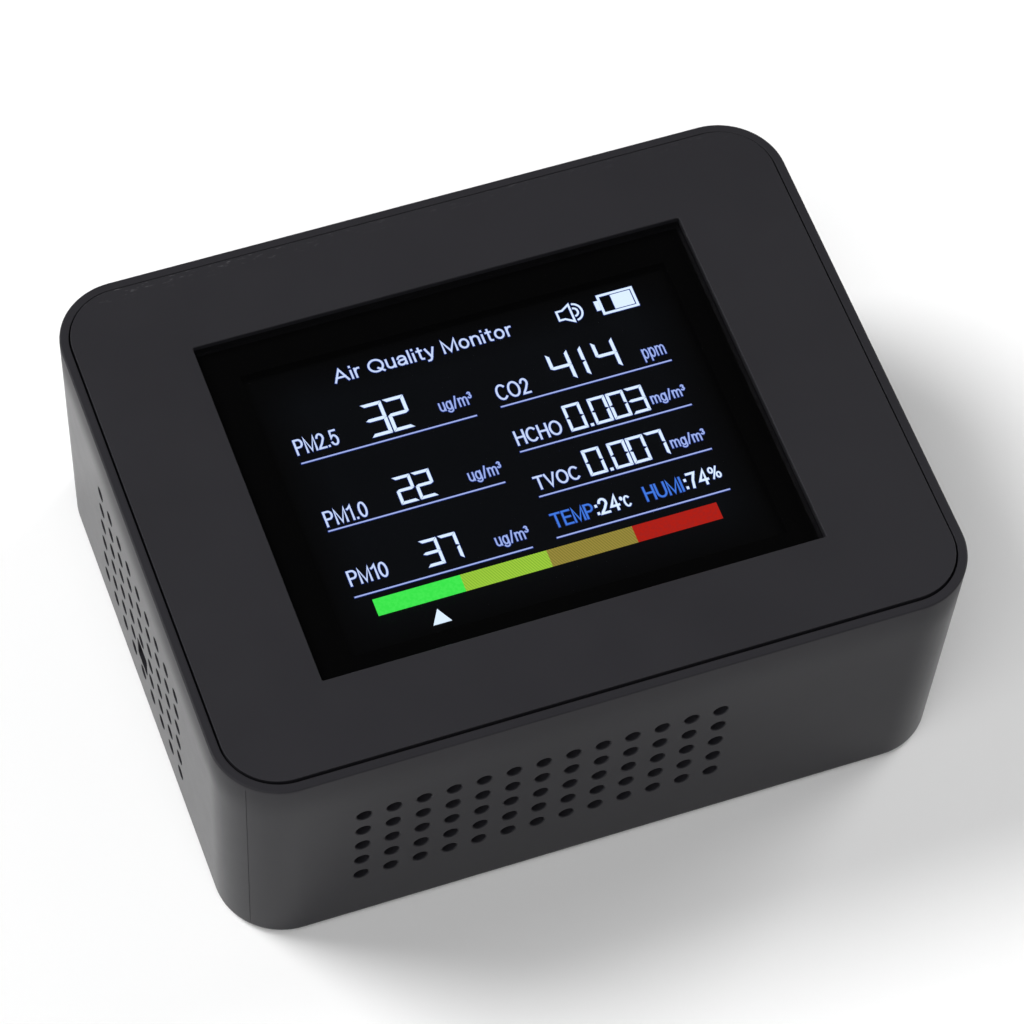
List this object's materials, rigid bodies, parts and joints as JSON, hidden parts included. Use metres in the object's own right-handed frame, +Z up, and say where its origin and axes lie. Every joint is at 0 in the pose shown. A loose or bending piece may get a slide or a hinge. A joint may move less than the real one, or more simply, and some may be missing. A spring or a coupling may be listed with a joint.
{
  "type": "air quality monitor",
  "caption": "Portable box-shaped air quality monitor with a screen under a dark window, grids of vent holes, a charging socket and sprung side buttons.",
  "frame": {"origin": "under the middle of the case, on the plane of the four rubber feet", "axes": "+X along the long side, to the right of the upright screen text; +Y towards the top of the screen text; +Z up out of the screen"},
  "size_m": [0.101, 0.08, 0.0395],
  "materials": {
    "case_plastic": "satin moulded ABS, dark grey",
    "panel_plastic": "fine matt dark grey",
    "lens": "polished smoked acrylic",
    "display_glass": "black display with a lit reading page",
    "white_plastic": "moulded white",
    "steel": "plain sheet",
    "screw_steel": "black zinc",
    "circuit_board": "green solder mask",
    "amber_film": "polyimide film",
    "black_plastic": "moulded black",
    "button_plastic": "satin moulded black",
    "foam": "closed-cell foam tape",
    "blue_plastic": "moulded blue",
    "brass": "plated",
    "black_wire": "insulation",
    "red_wire": "insulation",
    "cell_wrap": "heat-shrink wrap",
    "foot_rubber": "soft matt rubber"
  },
  "bodies": {
    "case": {"case_shell": "case_plastic", "front_panel": "panel_plastic", "window_lens": "lens", "display_glass": "display_glass", "display_backlight": "white_plastic", "display_frame": "steel", "display_board": "circuit_board", "display_ribbon": "amber_film", "display_lead_plug": "white_plastic", "display_lead_header": "white_plastic", "display_lead": "amber_film", "main_board": "circuit_board", "controller_chip": "black_plastic", "charger_chip": "black_plastic", "buzzer": "black_plastic", "charging_socket": "black_plastic", "charging_socket_pin": "steel", "power_switch": "black_plastic", "sound_switch": "black_plastic", "dust_sensor_pad": "foam", "dust_sensor_case": "blue_plastic", "dust_sensor_cover": "steel", "dust_sensor_fan_motor": "brass", "dust_sensor_board": "circuit_board", "dust_sensor_laser": "brass", "dust_sensor_light_trap": "black_plastic", "dust_sensor_detector": "black_plastic", "dust_sensor_lead": "black_wire", "gas_sensor_board": "circuit_board", "formaldehyde_sensor": "white_plastic", "vapour_sensor": "steel", "climate_sensor": "white_plastic", "gas_sensor_lead": "black_wire", "co2_sensor": "brass", "co2_filter": "white_plastic", "co2_board": "circuit_board", "battery": "cell_wrap", "battery_pad": "foam", "battery_plug": "white_plastic", "battery_lead_red": "red_wire", "battery_lead_black": "black_wire", "case_screw_1": "screw_steel", "display_screw_1": "screw_steel", "board_screw_1": "screw_steel", "foot_1": "foot_rubber", "case_screw_2": "screw_steel", "display_screw_2": "screw_steel", "board_screw_2": "screw_steel", "foot_2": "foot_rubber", "case_screw_3": "screw_steel", "display_screw_3": "screw_steel", "board_screw_3": "screw_steel", "foot_3": "foot_rubber", "case_screw_4": "screw_steel", "display_screw_4": "screw_steel", "board_screw_4": "screw_steel", "foot_4": "foot_rubber"},
    "power_button": {"power_button": "button_plastic"},
    "sound_button": {"sound_button": "button_plastic"},
    "sensor_fan": {"dust_sensor_fan": "black_plastic"}
  },
  "joints": [
    {"name": "power_press", "type": "slide", "parent": "case", "child": "power_button", "axis": [-1, 0, 0], "range_m": [0, 0.0005], "stiffness_N_per_m": 2000, "springref_m": -0.0002},
    {"name": "sound_press", "type": "slide", "parent": "case", "child": "sound_button", "axis": [-1, 0, 0], "range_m": [0, 0.0005], "stiffness_N_per_m": 2000, "springref_m": -0.0002},
    {"name": "fan_spin", "type": "hinge", "parent": "case", "child": "sensor_fan", "pos_m": [0.00345, -0.0107, 0.022], "axis": [0, 0, 1], "continuous": true}
  ]
}
